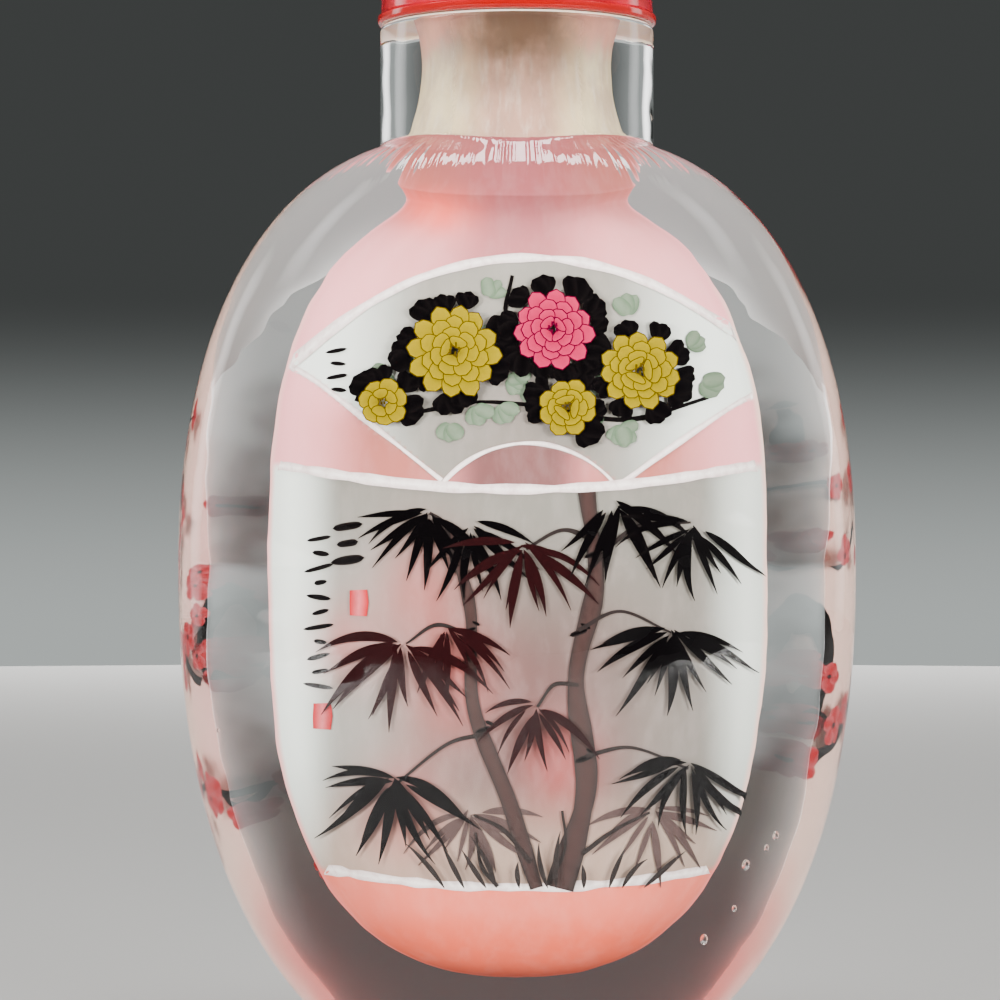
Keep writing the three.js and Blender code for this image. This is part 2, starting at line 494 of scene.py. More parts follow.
def new_group(name, inputs, outputs):
    """Empty shader node group with named sockets; its own inputs and outputs come back too."""
    group = bpy.data.node_groups.new(name, "ShaderNodeTree")
    for label, kind, default in inputs:
        socket = group.interface.new_socket(label, in_out="INPUT", socket_type=kind)
        socket.default_value = default
    for label, kind in outputs:
        group.interface.new_socket(label, in_out="OUTPUT", socket_type=kind)
    given = group.nodes.new("NodeGroupInput").outputs
    made = group.nodes.new("NodeGroupOutput").inputs
    return group, given, made


def place_group(tree, group, **values):
    """Puts a node group into a material with its own values, and gives its first output."""
    node = tree.nodes.new("ShaderNodeGroup")
    node.node_tree = group
    feed_all(tree, node, **values)
    return node.outputs[0]


def brush_streaks():
    """Node group: a colour broken by stretched streaks, as a brush or a swirl in glass leaves them."""
    name = "Brush streaks"
    if name in bpy.data.node_groups:
        return bpy.data.node_groups[name]
    inputs = [
        ("Colour", "NodeSocketColor", (0.8, 0.8, 0.8, 1)),
        ("Streak", "NodeSocketColor", (0.5, 0.5, 0.5, 1)),
        ("Amount", "NodeSocketFloat", 0.3),
        ("Grain", "NodeSocketFloat", 400.0),
        ("Along", "NodeSocketVector", (1.0, 1.0, 0.3)),
        ("Threshold", "NodeSocketFloat", 0.5),
    ]
    group, given, made = new_group(name, inputs, [("Colour", "NodeSocketColor")])
    softness = 0.18
    field = noise_field(group, given["Grain"], given["Along"], 5.0, 0.6)
    low = maths(group, "SUBTRACT", given["Threshold"], softness)
    high = maths(group, "ADD", given["Threshold"], softness)
    share = maths(group, "MULTIPLY", ramp(group, field, low, high), given["Amount"])
    feed(group, made["Colour"], mixed(group, share, given["Colour"], given["Streak"]))
    return group


def streaked(tree, colour, streak, amount, grain, along=(1.0, 1.0, 0.3), threshold=0.5):
    """A colour broken by streaks of another."""
    return place_group(
        tree,
        brush_streaks(),
        Colour=opaque(colour),
        Streak=opaque(streak),
        Amount=amount,
        Grain=grain,
        Along=along,
        Threshold=threshold,
    )


def fine_grain():
    """Node group: height of fine grain, as grinding or cork has it."""
    name = "Fine grain"
    if name in bpy.data.node_groups:
        return bpy.data.node_groups[name]
    inputs = [("Grain", "NodeSocketFloat", 4000.0), ("Pits", "NodeSocketFloat", 0.5)]
    group, given, made = new_group(name, inputs, [("Height", "NodeSocketFloat")])
    field = noise_field(group, given["Grain"], (1.0, 1.0, 1.0), 6.0)
    cells = group.nodes.new("ShaderNodeTexVoronoi")
    feed_all(group, cells, Vector=surface_place(group), Scale=given["Grain"])
    height = mixed(group, given["Pits"], field, cells.outputs["Distance"], "FLOAT")
    feed(group, made["Height"], height)
    return group


def let_light_through(tree, shader, tint):
    """Lets light reach what lies behind glass: shadow rays pass straight through."""
    path = tree.nodes.new("ShaderNodeLightPath")
    clear = tree.nodes.new("ShaderNodeBsdfTransparent")
    feed_all(tree, clear, Color=opaque(tint))
    mix = tree.nodes.new("ShaderNodeMixShader")
    feed(tree, mix.inputs["Fac"], path.outputs["Is Shadow Ray"])
    feed(tree, mix.inputs[1], shader.outputs["BSDF"])
    feed(tree, mix.inputs[2], clear.outputs["BSDF"])
    feed(tree, tree.nodes["Material Output"].inputs["Surface"], mix.outputs["Shader"])


def make_glass(tree, shader, roughness, clear_share, tint, ior=GLASS_IOR):
    """Sets a shader to glass, clear or ground; tint is what shadow rays keep of the light."""
    feed_all(tree, shader, Roughness=roughness, IOR=ior, Transmission_Weight=clear_share)
    let_light_through(tree, shader, tint)


def hand_polish():
    """Node group: height of the slow waves and grinding marks that hand polish leaves in glass."""
    name = "Hand polish"
    if name in bpy.data.node_groups:
        return bpy.data.node_groups[name]
    inputs = [
        ("Waves", "NodeSocketFloat", 60.0),
        ("Flutes", "NodeSocketFloat", 1.0),
        ("Flutes Low", "NodeSocketFloat", 0.0),
        ("Flutes Middle", "NodeSocketFloat", 0.5),
        ("Flutes High", "NodeSocketFloat", 1.0),
    ]
    group, given, made = new_group(name, inputs, [("Height", "NodeSocketFloat")])
    waves = noise_field(group, given["Waves"], (1.0, 1.0, 1.0), 2.5)
    flutes = noise_round(group, 24.0)
    level = parts_of(group, surface_place(group))["Z"]
    rise = ramp(group, level, given["Flutes Low"], given["Flutes Middle"])
    fall = ramp(group, level, given["Flutes Middle"], given["Flutes High"], 1.0, 0.0)
    strength = maths(group, "MULTIPLY", maths(group, "MULTIPLY", rise, fall), given["Flutes"])
    marks = maths(group, "MULTIPLY", flutes, strength)
    feed(group, made["Height"], maths(group, "ADD", waves, marks))
    return group


def polished_glass(sizes):
    """Clear glass with slow waves of polish, and grinding marks round the root of the neck."""
    material, tree, shader = new_material("polished_glass")
    polish = place_group(
        tree,
        hand_polish(),
        Waves=70.0,
        Flutes=0.85,
        Flutes_Low=sizes.body_height - 4 * MM,
        Flutes_Middle=sizes.body_height - 1 * MM,
        Flutes_High=sizes.body_height + 0.8 * MM,
    )
    add_bump(tree, shader, polish, 0.4 * MM)
    feed_all(tree, shader, Base_Color=opaque(CLEAR))
    make_glass(tree, shader, roughness=0.0, clear_share=1.0, tint=CLEAR)
    return material


def ground_rim(colours):
    """Matt ring on which the cap rests."""
    material, tree, shader = new_material("ground_rim")
    feed_all(tree, shader, Base_Color=streaked(tree, colours.rim, colours.frost, 0.5, 900.0))
    make_glass(tree, shader, roughness=0.5, clear_share=0.0, tint=(0.9, 0.88, 0.85))
    return material


def ground_glass(colours):
    """Frosted wall of the bore, with painted light and shade: creamy and bright at its sides, darker and
    pinker in the middle, a painted cork shadow in brown and the cap's red light painted in.
    """
    material, tree, shader = new_material("ground_glass")
    place = parts_of(tree, surface_place(tree))
    from_middle = maths(tree, "ABSOLUTE", place["X"])
    spread = 5 * MM
    blotches = maths(tree, "MULTIPLY", noise_field(tree, 420.0, (1.0, 1.0, 0.7), 4.0, 0.6), spread)
    level = maths(tree, "ADD", place["Z"], blotches)
    foot = CORK_LOW.z + spread / 2
    aside = ramp(tree, from_middle, 1.4 * MM, 4.4 * MM)
    reach = maths(tree, "ADD", from_middle, blotches)
    # Painted shadow of the cork, brown through the ground glass
    brown = ramp(tree, level, foot - 3.6 * MM, foot + 3.0 * MM, 0.0, 0.97)
    brown = maths(tree, "MULTIPLY", brown, ramp(tree, reach, 3.7 * MM, 8.6 * MM, 1.0, 0.3))
    # Painted reflection of the cap's red light in the bore's upper corners
    red = ramp(tree, level, foot + 0.6 * MM, foot + 3.6 * MM, 0.0, 0.75)
    red = maths(tree, "MULTIPLY", red, aside)
    # Painted light and shade: bright frost at the sides, darker and pinker in the middle
    frost = mixed(tree, aside, opaque(colours.frost_shaded_middle), opaque(colours.frost))
    frost = streaked(tree, frost, colours.frost_worn, 0.6, 420.0, (1.0, 1.0, 0.6), 0.52)
    frost = streaked(tree, frost, colours.frost_bright, 0.5, 1900.0, (1.0, 1.0, 0.14), 0.62)
    frost = mixed(tree, red, frost, opaque(colours.frost_cap_reflection))
    frost = mixed(tree, brown, frost, opaque(colours.frost_brown))
    feed_all(tree, shader, Base_Color=frost)
    grain = place_group(tree, fine_grain(), Grain=5200.0, Pits=0.4)
    add_bump(tree, shader, grain, 0.02 * MM, 0.35)
    make_glass(tree, shader, roughness=0.5, clear_share=0.3, tint=(0.85, 0.8, 0.75))
    return material


def paint(name, streak, amount, grain, threshold, along=(1.0, 1.0, 1.0)):
    """Matt paint whose colour is laid down with its strokes, broken by the brush's streaks."""
    material, tree, shader = new_material(name)
    laid = tree.nodes.new("ShaderNodeAttribute")
    laid.attribute_name = "paint"
    streaks = streaked(tree, laid.outputs["Color"], streak, amount, grain, along, threshold)
    feed_all(tree, shader, Base_Color=streaks, Roughness=0.85, Specular_IOR_Level=0.0)
    return material


def red_glass(colours):
    """Deep red glass with lighter swirls that also stand in for pinkish highlights, and a painted glow of
    light low on the cap, along its thin flange.
    """
    material, tree, shader = new_material("red_glass")
    level = parts_of(tree, surface_place(tree))["Z"]
    # Painted glow: lighter red low on the cap, along the flange
    edge = ramp(tree, level, CAP_LOW.z + 0.35 * MM, CAP_LOW.z + 0.95 * MM, 1.0, 0.0)
    # Lighter swirls in the red glass, which also stand in for painted pinkish highlights
    swirl = streaked(tree, colours.cap, colours.cap_swirl_and_sheen, 0.85, 210.0, (1.0, 1.0, 1.3), 0.52)
    add_bump(tree, shader, place_group(tree, hand_polish(), Waves=160.0, Flutes=0.0), 0.25 * MM)
    feed_all(
        tree,
        shader,
        Base_Color=mixed(tree, edge, swirl, opaque(colours.cap_painted_glow)),
        Roughness=0.05,
        IOR=GLASS_IOR,
        Subsurface_Weight=0.5,
        Subsurface_Radius=(1.0, 0.1, 0.1),
        Subsurface_Scale=1.5 * MM,
    )
    return material


def dry_cork(colours):
    material, tree, shader = new_material("dry_cork")
    streaks = streaked(tree, colours.cork, colours.cork_pits, 0.8, 900.0, (1.0, 1.0, 0.5), 0.6)
    feed_all(tree, shader, Base_Color=streaks, Roughness=0.9)
    add_bump(tree, shader, place_group(tree, fine_grain(), Grain=1800.0, Pits=0.7), 0.15 * MM, 0.6)
    return material


def blended(first, second, share):
    """Colours between two, by one share or by an array of them."""
    share = np.asarray(share, float)[..., None]
    return np.asarray(first) * (1 - share) + np.asarray(second) * share


def soft_step(low, high, value):
    share = np.clip((value - low) / (high - low), 0, 1)
    return share * share * (3 - 2 * share)


# Places on the painted wall, in millimetres: across from the middle, and up from the foot
FAN_MIDDLE = (0.8, 39.5)
FAN_RADIUS = 21.4
FAN_HUB_RADIUS = 7.9
FAN_TILT = math.radians(88.5)
FAN_HALF_ANGLE = math.radians(52)
UPPER_LINE = 44.0
LOWER_LINE = 14.75
LINE_RISE = 1.7
PAINT_TOP = 69.9
SIDE = 16.0
WASH_EDGE = 0.15

# Levels from which and to which a wash comes in, in millimetres
# Painted shade: the pink stays deeper just under the neck
PAINTED_NECK_SHADE = (65.5, 62.5)
BESIDE_RIBS = (53, 48)
FAN_HUB = (50, 47)
FAN_WARMTH = (56, 48)
PANEL_WARMTH = (43, 30)
PANEL_LIGHT = (45, 36)
PANEL_FOOT = (23.5, 16.5)
BOTTOM_PINK = (10.5, 13.5)
BACK_PINK = (55, 61)
BACK_CREAM = (15, 21)

# Soft places in the washes, in millimetres: the wide panel's warm middle, which is only across,
# the ember under the neck, and the glows of red, painted light from the back, as (across, height, reach),
# drawn out upwards
WARM_MIDDLE = 1.5
WARM_REACH = 9.0
EMBER = (-5.9, 63.9)
EMBER_REACH = (2.6, 1.4)
GLOWS = ((-4.9, 29.7, 3.5), (-12.4, 32.6, 2.6), (3.1, 23.7, 2.9), (-8.5, 20.5, 3.2), (-7.0, 36.6, 3.3))
GLOW_STRETCH = 1.25


def line_height(level, across):
    """Height of a dividing line, which rises a little towards both sides."""
    return level + LINE_RISE * (across / SIDE) ** 2


def fan_share(across, height):
    """1 inside the fan panel and 0 outside."""
    right = across - FAN_MIDDLE[0]
    up = height - FAN_MIDDLE[1]
    reach = np.hypot(right, up)
    turn = np.abs(np.arctan2(up, right) - FAN_TILT)
    share = 1
    for depth in (FAN_RADIUS - reach, reach - FAN_HUB_RADIUS, (FAN_HALF_ANGLE - turn) * reach):
        share = share * soft_step(-WASH_EDGE, WASH_EDGE, depth)
    return share


def inside_fan(place, room):
    """Whether a place has this much room on all sides inside the fan panel."""
    corners = [place + room * heading(math.pi / 4 * i) for i in range(8)]
    return min(fan_share(*corner) for corner in corners) > 0.9


def soft_spot(across, height, middle, reach):
    """1 in the middle of a soft place, and less with the distance from it."""
    right = (across - middle[0]) / reach[0]
    up = (height - middle[1]) / reach[1]
    return np.exp(-right ** 2 - up ** 2)


def pink_ground(colours, across, height):
    """Pink round the fan: deeper in the middle, pale at the sides and red on the left under the neck; the
    deep middle, the pale sides and the deeper pink just under the neck are painted shade and light.
    """
    side = np.abs(across) / SIDE
    # Painted light and shade: deeper pink in the middle, paler towards the sides
    rose = blended(colours.rose, colours.rose_warm, soft_step(0.05, 0.6, side))
    rose = blended(rose, colours.rose_pale, soft_step(0.4, 0.9, side))
    # Painted shade under the neck: the paler pink stops short of it
    light = soft_step(*PAINTED_NECK_SHADE, height) * (0.2 + 0.4 * soft_step(0.1, 0.45, side))
    rose = blended(rose, colours.rose_pale, light)
    rose = blended(rose, colours.ember, 0.75 * soft_spot(across, height, EMBER, EMBER_REACH))
    beside = blended(colours.rose_warm, colours.rose_pale, soft_step(0.62, 1.05, side))
    rose = blended(rose, beside, soft_step(*BESIDE_RIBS, height) * soft_step(0.1, 0.5, side))
    hub = blended(colours.rose, colours.panel_warm, 0.75)
    return blended(rose, hub, soft_step(*FAN_HUB, height) * soft_step(0.35, 0.15, side))


def fan_ground(colours, across, height):
    """Grey of the fan panel, with painted light whitening its ends, and warmer low in its middle."""
    side = np.abs(across) / SIDE
    fan = blended(colours.panel, colours.panel_painted_light, 0.9 * soft_step(0.38, 0.95, side))
    warm = 0.3 * (1 - soft_step(0, 0.5, side)) * soft_step(*FAN_WARMTH, height)
    return blended(fan, colours.panel_warm, warm)


def wide_ground(colours, across, height):
    """Grey of the wide panel: warm in the middle, with painted light whitening its sides and its left,
    and painted red glows of light that shines through from the back.
    """
    aside = across / SIDE
    middle = np.exp(-((across - WARM_MIDDLE) / WARM_REACH) ** 2) * soft_step(*PANEL_WARMTH, height)
    panel = blended(0.8 * np.array(colours.panel), colours.panel_warm, 0.9 * middle)
    # Painted light: a little whiter towards the left
    light = 0.1 * soft_step(0.35, 0.75, -aside) * soft_step(*PANEL_LIGHT, height)
    panel = blended(panel, colours.panel_painted_light, light)
    panel = blended(panel, colours.panel_low, 0.7 * soft_step(*PANEL_FOOT, height))
    # Painted light: whiter towards both sides
    edges = 0.9 * soft_step(0.78, 1.02, -aside) + 0.68 * soft_step(0.8, 1.04, aside)
    panel = blended(panel, colours.panel_painted_light, edges)
    # Painted glows: red light shining through the paint from the back
    for right, up, reach in GLOWS:
        glow = soft_spot(across, height, (right, up), (reach, GLOW_STRETCH * reach))
        panel = blended(panel, colours.glow, 0.38 * glow)
    return panel


def bottom_ground(colours, across, height):
    """Salmon under the wide panel, warmer at the sides and pinker along its top."""
    warm = 0.25 * soft_step(0.5, 0.95, np.abs(across) / SIDE)
    bottom = blended(colours.salmon, colours.rose_warm, warm)
    return blended(bottom, colours.salmon_pale, 0.5 * soft_step(*BOTTOM_PINK, height))


def front_wash(colours, across, height):
    """Ground colours of the front: pink over and under, a fan and a wide panel between."""
    place = (colours, across, height)
    upper = soft_step(-WASH_EDGE, WASH_EDGE, height - line_height(UPPER_LINE, across))
    lower = soft_step(-WASH_EDGE, WASH_EDGE, height - line_height(LOWER_LINE, across))
    top = blended(pink_ground(*place), fan_ground(*place), fan_share(across, height))
    return blended(bottom_ground(*place), blended(wide_ground(*place), top, upper), lower)


def back_wash(colours, across, height):
    """Ground colours of the back: cream, with pink towards the top and the bottom."""
    pinked = np.where(across < 0, 0.6, 0.12) * soft_step(6, 15, np.abs(across))
    cream = blended(colours.cream, colours.rose_pale, pinked)
    top = blended(cream, colours.rose_pale, soft_step(*BACK_PINK, height))
    bottom = blended(colours.salmon, colours.rose_pale, 0.35)
    return blended(bottom, top, soft_step(*BACK_CREAM, height))


def lay_colours(mesh, colours):
    """Stores one colour for each corner point, as the paint that was laid there."""
    layer = mesh.color_attributes.new("paint", "FLOAT_COLOR", "POINT")
    alpha = np.ones((len(colours), 1))
    layer.data.foreach_set("color", np.concatenate([colours, alpha], axis=1).astype(np.float32).ravel())


class Brushwork:
    """Gathers the strokes on one face of the painted wall, and makes one mesh of them."""

    def __init__(self, form, face, lift=FIRST_COAT):
        self.form = form
        self.face = face
        self.lift = lift
        self.points = []
        self.colours = []
        self.faces = []
        self.count = 0

    def stroke(self, path, half_widths, fill, edge=None, columns=2):
        """A stroke along a path in millimetres, with its colours along it and at its edges."""
        path = np.asarray(path, float)
        steps = len(path)
        half_widths = np.maximum(np.asarray(half_widths, float) * np.ones(steps), THINNEST)
        along = np.gradient(path, axis=0)
        along /= np.maximum(np.linalg.norm(along, axis=1, keepdims=True), 1e-9)
        across = np.stack([-along[:, 1], along[:, 0]], axis=1)
        sides = np.linspace(-1, 1, columns + 1)
        grid = path[:, None, :] + across[:, None, :] * (half_widths[:, None] * sides)[..., None]
        self.lift += COAT
        place = grid.reshape(-1, 2) * MM
        self.points.append(self.form.wall_points(self.face, place[:, 0], place[:, 1], self.lift))
        fill = np.asarray(fill, float) * np.ones((steps, 3))
        edge = fill if edge is None else np.asarray(edge, float) * np.ones((steps, 3))
        towards = np.abs(sides)[None, :] ** 2 * np.ones((steps, 1))
        self.colours.append(blended(fill[:, None, :], edge[:, None, :], towards).reshape(-1, 3))
        row, column = np.meshgrid(np.arange(steps - 1), np.arange(columns), indexing="ij")
        here = self.count + row * (columns + 1) + column
        quads = np.stack([here, here + columns + 1, here + columns + 2, here + 1], axis=-1)
        self.faces += quads.reshape(-1, 4).tolist()
        self.count += steps * (columns + 1)

    def piece(self, name):
        """Makes one piece of the strokes so far."""
        piece = add_mesh(name, np.concatenate(self.points), self.faces)
        lay_colours(piece.data, np.concatenate(self.colours))
        return piece


def bent_path(start, bend, end, steps):
    """Path from start to end that is pulled towards a third point."""
    share = np.linspace(0, 1, steps)[:, None]
    start, bend, end = (np.asarray(point, float) for point in (start, bend, end))
    return start * (1 - share) ** 2 + bend * 2 * share * (1 - share) + end * share ** 2


def smooth_path(points, steps):
    """Smooth path through several points."""
    points = np.asarray(points, float)
    ends = np.concatenate([2 * points[:1] - points[1:2], points, 2 * points[-1:] - points[-2:-1]])
    path = []
    for i in range(len(points) - 1):
        a, b, c, d = ends[i:i + 4]
        share = np.linspace(0, 1, steps, endpoint=i == len(points) - 2)[:, None]
        path.append(
            0.5
            * (
                2 * b
                + (c - a) * share
                + (2 * a - 5 * b + 4 * c - d) * share ** 2
                + (3 * b - a - 3 * c + d) * share ** 3
            )
        )
    return np.concatenate(path)


def heading(angle):
    return np.array([math.cos(angle), math.sin(angle)])


def uneven(random, steps, amount):
    """Gentle hand-made unevenness along a stroke, round 1."""
    knots = random.normal(1, amount, max(3, steps // 5))
    return np.interp(np.linspace(0, 1, steps), np.linspace(0, 1, len(knots)), knots)


def pointed_leaf(brush, root, angle, long, wide, droop, lean, ink, thin):
    """One leaf: narrow at its root, widest before its middle, and drawn out to a point."""
    steps = 14
    share = np.linspace(0, 1, steps)
    aim = heading(angle)
    tip = root + aim * long + np.array([0, -droop])
    bend = root + aim * long * 0.55 + np.array([-aim[1], aim[0]]) * lean * long
    body = np.sin(math.pi * share ** 0.7) ** 1.15
    shade = blended(ink, thin, 0.25 * soft_step(0.6, 1.1, share))
    brush.stroke(bent_path(root, bend, tip, steps), wide / 2 * body + 0.02, shade)


def leaf_spray(brush, random, root, aim, spread, count, long, ink, thin):
    """Leaves that fan out from one place on a twig, the outer ones longer and more bent."""
    root = np.asarray(root, float)
    for i in range(count):
        share = (i + 0.5) / count - 0.5
        angle = math.radians(aim + spread * share) + random.normal(0, 0.1)
        size = long * random.uniform(0.7, 1.15)
        wide = random.uniform(0.46, 0.68) * size / 5.0
        start = root + heading(angle) * random.uniform(0.0, 0.9) + random.normal(0, 0.16, 2)
        droop = size * 0.3 * abs(math.cos(angle)) * random.uniform(0.3, 1.5)
        lean = random.normal(0, 0.07)
        pointed_leaf(brush, start, angle, size, wide, droop, lean, ink, thin)


def twig(brush, random, points, start_wide, end_wide, ink, edge=None):
    """Branch or stem that narrows along its way."""
    path = smooth_path(points, 14)
    steps = len(path)
    wide = np.linspace(start_wide, end_wide, steps) * uneven(random, steps, 0.14)
    brush.stroke(path, wide / 2, ink, edge=edge, columns=4 if start_wide > 0.8 else 2)


def petal(brush, middle, angle, inner, outer, wide, fill, rim, dark):
    """One rounded petal with a shallow notch, drawn round with a fine darker line."""
    steps = 9
    share = np.linspace(0, 1, steps)
    aim = heading(angle)
    path = middle + aim * (inner + (outer - inner) * share)[:, None]
    half = wide / 2 * np.sqrt(np.clip(1 - (2 * share ** 1.35 - 1) ** 2, 0, 1))
    shades = blended(fill, rim, share)
    brush.stroke(path, half, shades, edge=blended(shades, rim, 0.5 * np.ones(steps)), columns=4)
    side = np.array([-aim[1], aim[0]])
    line = np.concatenate([path + side * half[:, None], (path - side * half[:, None])[::-1]])
    brush.stroke(line, 0.036, dark)


def blossom(brush, random, middle, radius, fill, rim, dark, rings):
    """Round blossom of several rings of petals, the outer ones first."""
    middle = np.asarray(middle, float)
    turn = random.uniform(0, math.pi)
    for ring, count in enumerate(rings):
        outer = radius * (1 - ring / (len(rings) + 0.35))
        inner = outer * 0.25
        wide = 2 * math.pi * outer / count * 0.82
        for i in range(count):
            angle = turn + 2 * math.pi * (i + 0.5 * (ring % 2)) / count + random.normal(0, 0.05)
            grown = outer * random.uniform(0.93, 1.05)
            petal(brush, middle, angle, inner, grown, wide, fill, rim, dark)
        turn += 0.35
    for i in range(5):
        speck = middle + heading(turn + 1.3 * i) * radius * 0.1
        brush.stroke([speck, speck + (0, radius * 0.05), speck + (0, radius * 0.1)], 0.07, dark)


def leaf_dab(brush, random, middle, angle, long, wide, fill, edge):
    """Round-ended dab of a loaded brush, for a broad leaf."""
    steps = 10
    share = np.linspace(0, 1, steps)
    middle = np.asarray(middle, float)
    path = middle + heading(angle) * (long * (share - 0.5))[:, None]
    half = wide / 2 * np.clip(1 - np.abs(2 * share - 1) ** 2.6, 0, 1) ** 0.5
    brush.stroke(path, half * uneven(random, steps, 0.12), fill, edge=edge, columns=4)


def lobed_leaf(brush, random, middle, angle, size, fill, edge):
    """Broad leaf of three or four dabs that lean apart."""
    for lean in (-0.75, -0.1, 0.65):
        aim = angle + lean + random.normal(0, 0.12)
        place = np.asarray(middle, float) + heading(aim) * size * 0.38
        leaf_dab(brush, random, place, aim, size, size * random.uniform(0.6, 0.82), fill, edge)


def fan_leaf(brush, random, middle, turn, reach, left, room, largest, shades):
    """Leaf beside a blossom, where the fan's edges and the marks on its left leave it room."""
    place = np.array(middle) + heading(turn) * reach
    if place[0] > left and inside_fan(place + heading(turn) * 0.6, room):
        lobed_leaf(brush, random, place, turn, random.uniform(1.2, largest), *shades)


def arc_points(radius, start, end, steps):
    """Arc round the fan's middle, in millimetres."""
    turns = np.linspace(start, end, steps)
    return np.array(FAN_MIDDLE) + radius * np.stack([np.cos(turns), np.sin(turns)], axis=1)


def paint_lines(form, colours):
    """White lines that divide the front into its fan, its panel and the pink ground."""
    random = np.random.default_rng(11)
    brush = Brushwork(form, FRONT)
    left = FAN_TILT + FAN_HALF_ANGLE
    right = FAN_TILT - FAN_HALF_ANGLE
    line = colours.line
    edge = blended(line, colours.rose, 0.35)
    outer = arc_points(FAN_RADIUS, left, right, 90)
    brush.stroke(outer, 0.3 * uneven(random, 90, 0.2), line, edge=edge)
    hub = arc_points(FAN_HUB_RADIUS, left, right, 40)
    brush.stroke(hub, 0.17 * uneven(random, 40, 0.25), line, edge=edge)
    for turn in (left, right):
        reach = np.linspace(FAN_HUB_RADIUS + 0.2, FAN_RADIUS, 40)
        rib = np.array(FAN_MIDDLE) + reach[:, None] * heading(turn)
        brush.stroke(rib, 0.2 * uneven(random, 40, 0.25), line, edge=edge)
    for level, half in ((UPPER_LINE, 0.36), (LOWER_LINE, 0.32)):
        share = 0.9996 * np.sin(np.linspace(-math.pi / 2, math.pi / 2, 150))
        across = share * SIDE
        for _ in range(4):
            across = share * form.cavity_halves(line_height(level, across) * MM)[0] / MM
        path = np.stack([across, line_height(level, across)], axis=1)
        brush.stroke(path, half * uneven(random, len(path), 0.16), line, edge=edge)
    return brush.piece("front_white_lines")


def paint_flowers(form, colours):
    """Yellow and pink blossoms among dark and sage leaves, on the fan."""
    random = np.random.default_rng(23)
    brush = Brushwork(form, FRONT, FIRST_COAT + 0.02 * MM)
    sage_edge = blended(colours.sage, colours.ink_thin, 0.25)
    sage_pale = blended(colours.sage, colours.panel, 0.35)
    ink_soft = blended(colours.ink, colours.ink_thin, 0.06)
    stems = (
        [(-11.6, 50.8), (-8.5, 49.6), (-3.4, 50.4), (1.2, 50.2)],
        [(1.2, 50.2), (4.6, 49.4), (8.6, 49.2), (13.6, 50.8)],
        [(0.9, 50.2), (0.2, 53.5), (-0.9, 56.8), (-0.4, 59.6)],
    )
    for stem in stems:
        twig(brush, random, stem, 0.5, 0.26, ink_soft)
    blossoms = (
        ((-9.7, 50.4), 1.8, "yellow", (7, 5)),
        ((3.6, 50.0), 2.1, "yellow", (8, 6, 3)),
        ((-4.6, 54.1), 3.4, "yellow", (12, 10, 7, 4)),
        ((8.8, 52.7), 2.9, "yellow", (11, 9, 6, 3)),
        ((2.6, 55.7), 3.0, "pink", (11, 9, 7, 4)),
    )
    # Each kind starts at one coat for all blossoms, over room for forty leaves of three dabs
    leaves_room = 40 * 3 * COAT
    sage_coat = brush.lift
    leaf_coat = sage_coat + leaves_room
    blossom_coat = leaf_coat + leaves_room
    for middle, radius, _, _ in blossoms:
        brush.lift = sage_coat
        for _ in range(int(4 + 1.6 * radius)):
            turn = random.uniform(0, 2 * math.pi)
            reach = radius + random.uniform(1.0, 2.3)
            fan_leaf(brush, random, middle, turn, reach, -10.6, 1.7, 1.6, (sage_pale, sage_edge))
    for middle, radius, _, _ in blossoms:
        brush.lift = leaf_coat
        count = int(5 + 1.8 * radius)
        for i in range(count):
            turn = 2 * math.pi * (i + random.uniform(-0.35, 0.35)) / count
            reach = radius - random.uniform(0.0, 0.5)
            fan_leaf(brush, random, middle, turn, reach, -11.2, 1.5, 1.85, (colours.ink, ink_soft))
    shades = {
        "yellow": (
            blended(colours.yellow, colours.yellow_deep, 0.5),
            blended(colours.yellow, colours.yellow_rim, 0.6),
            colours.yellow_line,
        ),
        "pink": (
            blended(colours.pink, colours.pink_deep, 0.4),
            blended(colours.pink, colours.pink_rim, 0.5),
            colours.pink_line,
        ),
    }
    for middle, radius, kind, rings in blossoms:
        brush.lift = blossom_coat
        blossom(brush, random, middle, radius, *shades[kind], rings)
    return brush.piece("front_flowers")


